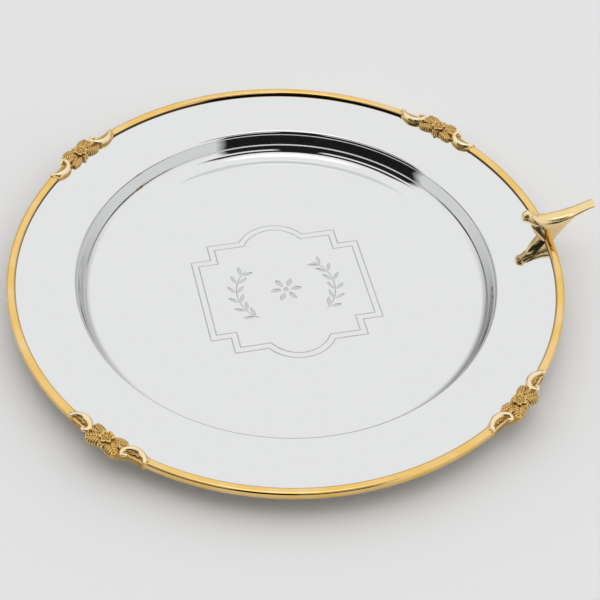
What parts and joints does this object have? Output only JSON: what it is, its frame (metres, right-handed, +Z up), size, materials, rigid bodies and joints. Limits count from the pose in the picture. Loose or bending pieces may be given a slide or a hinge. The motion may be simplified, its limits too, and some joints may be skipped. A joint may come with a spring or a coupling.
{
  "type": "offering plate",
  "caption": "Round polished metal plate with a wide flat rim, a shallow well, a gold edge band, cast leaf and scroll ornaments, an engraved cartouche and a small bird figure on the edge.",
  "frame": {"origin": "centre of the base on the table plane", "axes": "+Z up out of the plate, +X from the centre towards the bird figure on the rim"},
  "size_m": [0.3273, 0.305, 0.0375],
  "materials": {
    "mirror_plate": "mirror polished white metal",
    "gold_band": "polished gold plate",
    "antique_gold": "cast, darker matt recesses and polished edges",
    "bright_gold": "polished gold plate"
  },
  "bodies": {
    "root": {"plate_body": "mirror_plate", "edge_band_1": "gold_band", "edge_band_2": "gold_band", "edge_band_3": "gold_band", "edge_band_4": "gold_band", "cast_ornament_1": "antique_gold", "cast_ornament_2": "antique_gold", "cast_ornament_3": "antique_gold", "cast_ornament_4": "antique_gold", "bird_figure": "bright_gold"}
  },
  "joints": []
}
